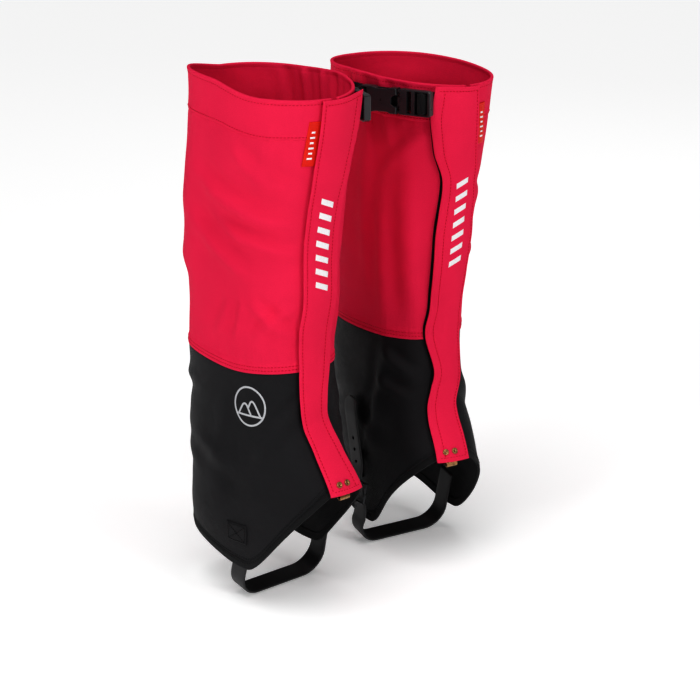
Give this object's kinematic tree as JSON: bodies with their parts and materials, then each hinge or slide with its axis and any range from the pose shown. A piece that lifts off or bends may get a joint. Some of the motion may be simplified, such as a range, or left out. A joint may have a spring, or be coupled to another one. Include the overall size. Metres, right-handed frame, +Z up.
{
  "type": "hiking gaiters",
  "caption": "Pair of knee-high hiking gaiters: red nylon calf tubes over black ankle panels, each with a front cover flap, calf buckle, lace hook and rubber foot strap.",
  "frame": {"origin": "midway between the two gaiters at the level of the foot straps' lowest edge", "axes": "+Z up the leg, -Y the way the wearer faces, +X towards the wearer's left"},
  "size_m": [0.3238, 0.2203, 0.5011],
  "materials": {
    "red_nylon": "matt coated nylon weave",
    "black_nylon": "matt coated nylon weave",
    "black_tape": "woven tape",
    "webbing": "ribbed webbing",
    "label": "woven satin label",
    "buckle_plastic": "moulded satin black",
    "rubber": "smooth dark rubber",
    "brass": "aged brass",
    "blackened_steel": "blackened wire"
  },
  "bodies": {
    "pair": {"l_upper_panel": "red_nylon", "l_top_band": "red_nylon", "l_lower_panel": "black_nylon", "l_hem_binding": "black_tape", "l_flap_foot": "red_nylon", "l_loop_tape": "black_tape", "l_side_label": "label", "l_anchor_patch": "black_nylon", "l_socket_webbing": "webbing", "l_plug_webbing": "webbing", "l_buckle_socket": "buckle_plastic", "l_lace_hook": "brass", "l_hook_rivet_a": "brass", "l_hook_rivet_b": "brass", "l_strap_grip": "rubber", "l_strap_frame": "blackened_steel", "l_strap_tab": "webbing", "l_tab_rivet": "brass", "r_upper_panel": "red_nylon", "r_top_band": "red_nylon", "r_lower_panel": "black_nylon", "r_hem_binding": "black_tape", "r_flap_foot": "red_nylon", "r_loop_tape": "black_tape", "r_side_label": "label", "r_anchor_patch": "black_nylon", "r_socket_webbing": "webbing", "r_plug_webbing": "webbing", "r_buckle_socket": "buckle_plastic", "r_lace_hook": "brass", "r_hook_rivet_a": "brass", "r_hook_rivet_b": "brass", "r_strap_grip": "rubber", "r_strap_frame": "blackened_steel", "r_strap_tab": "webbing", "r_tab_rivet": "brass"},
    "l_flap": {"l_cover_flap": "red_nylon", "l_hook_tape": "black_tape"},
    "l_plug": {"l_buckle_plug": "buckle_plastic"},
    "l_prong_up": {"l_prong_upper": "buckle_plastic"},
    "l_prong_low": {"l_prong_lower": "buckle_plastic"},
    "l_strap": {"l_foot_strap": "rubber"},
    "l_tail": {"l_strap_tail": "rubber"},
    "l_pin": {"l_strap_tongue": "blackened_steel"},
    "r_flap": {"r_cover_flap": "red_nylon", "r_hook_tape": "black_tape"},
    "r_plug": {"r_buckle_plug": "buckle_plastic"},
    "r_prong_up": {"r_prong_upper": "buckle_plastic"},
    "r_prong_low": {"r_prong_lower": "buckle_plastic"},
    "r_strap": {"r_foot_strap": "rubber"},
    "r_tail": {"r_strap_tail": "rubber"},
    "r_pin": {"r_strap_tongue": "blackened_steel"}
  },
  "joints": [
    {"name": "l_flap_peel", "type": "hinge", "parent": "pair", "child": "l_flap", "pos_m": [0.1081, -0.05814, 0.3594], "axis": [-0.0569, -0.1402, 0.9885], "range_deg": [0, 150]},
    {"name": "l_buckle_release", "type": "slide", "parent": "pair", "child": "l_plug", "axis": [0.2487, -0.9686, 0], "range_m": [0, 0.022], "deforming": ["l_plug_webbing"]},
    {"name": "l_prong_upper_flex", "type": "hinge", "parent": "l_plug", "child": "l_prong_up", "pos_m": [0.03793, -0.02724, 0.47628], "axis": [-0.9686, -0.2487, 0], "range_deg": [0, 11.5]},
    {"name": "l_prong_lower_flex", "type": "hinge", "parent": "l_plug", "child": "l_prong_low", "pos_m": [0.03793, -0.02724, 0.46253], "axis": [0.9686, 0.2487, 0], "range_deg": [0, 11.5]},
    {"name": "l_strap_swing", "type": "hinge", "parent": "pair", "child": "l_strap", "pos_m": [0.09544, 0.01547, 0.0534], "axis": [0.9836, -0.1805, 0], "range_deg": [-12, 32]},
    {"name": "l_tail_lift", "type": "hinge", "parent": "pair", "child": "l_tail", "pos_m": [0.03507, 0.03163, 0.0716], "axis": [-0.1805, -0.9836, 0], "range_deg": [0, 60]},
    {"name": "l_tongue_swing", "type": "hinge", "parent": "pair", "child": "l_pin", "pos_m": [0.03999, 0.03073, 0.069], "axis": [0.1805, 0.9836, 0], "range_deg": [0, 60], "deforming": ["l_strap_grip"]},
    {"name": "r_flap_peel", "type": "hinge", "parent": "pair", "child": "r_flap", "pos_m": [-0.11974, -0.06972, 0.372], "axis": [-0.0307, 0.1481, -0.9885], "range_deg": [0, 150]},
    {"name": "r_buckle_release", "type": "slide", "parent": "pair", "child": "r_plug", "axis": [-0.4195, -0.9078, 0], "range_m": [0, 0.022], "deforming": ["r_plug_webbing"]},
    {"name": "r_prong_upper_flex", "type": "hinge", "parent": "r_plug", "child": "r_prong_up", "pos_m": [-0.04514, -0.05199, 0.48888], "axis": [-0.9078, 0.4195, 0], "range_deg": [0, 11.5]},
    {"name": "r_prong_lower_flex", "type": "hinge", "parent": "r_plug", "child": "r_prong_low", "pos_m": [-0.04514, -0.05199, 0.47513], "axis": [0.9078, -0.4195, 0], "range_deg": [0, 11.5]},
    {"name": "r_strap_swing", "type": "hinge", "parent": "pair", "child": "r_strap", "pos_m": [-0.094, 0.0004, 0.066], "axis": [1, 0, 0], "range_deg": [-12, 32]},
    {"name": "r_tail_lift", "type": "hinge", "parent": "pair", "child": "r_tail", "pos_m": [-0.0317, 0.0054, 0.0842], "axis": [0, 1, 0], "range_deg": [0, 60]},
    {"name": "r_tongue_swing", "type": "hinge", "parent": "pair", "child": "r_pin", "pos_m": [-0.0367, 0.0054, 0.0816], "axis": [0, -1, 0], "range_deg": [0, 60], "deforming": ["r_strap_grip"]}
  ],
  "couplings": [
    {"joint": "l_prong_upper_flex", "follows": "l_buckle_release", "rad_per_m": 9},
    {"joint": "l_prong_lower_flex", "follows": "l_buckle_release", "rad_per_m": 9},
    {"joint": "r_prong_upper_flex", "follows": "r_buckle_release", "rad_per_m": 9},
    {"joint": "r_prong_lower_flex", "follows": "r_buckle_release", "rad_per_m": 9}
  ]
}
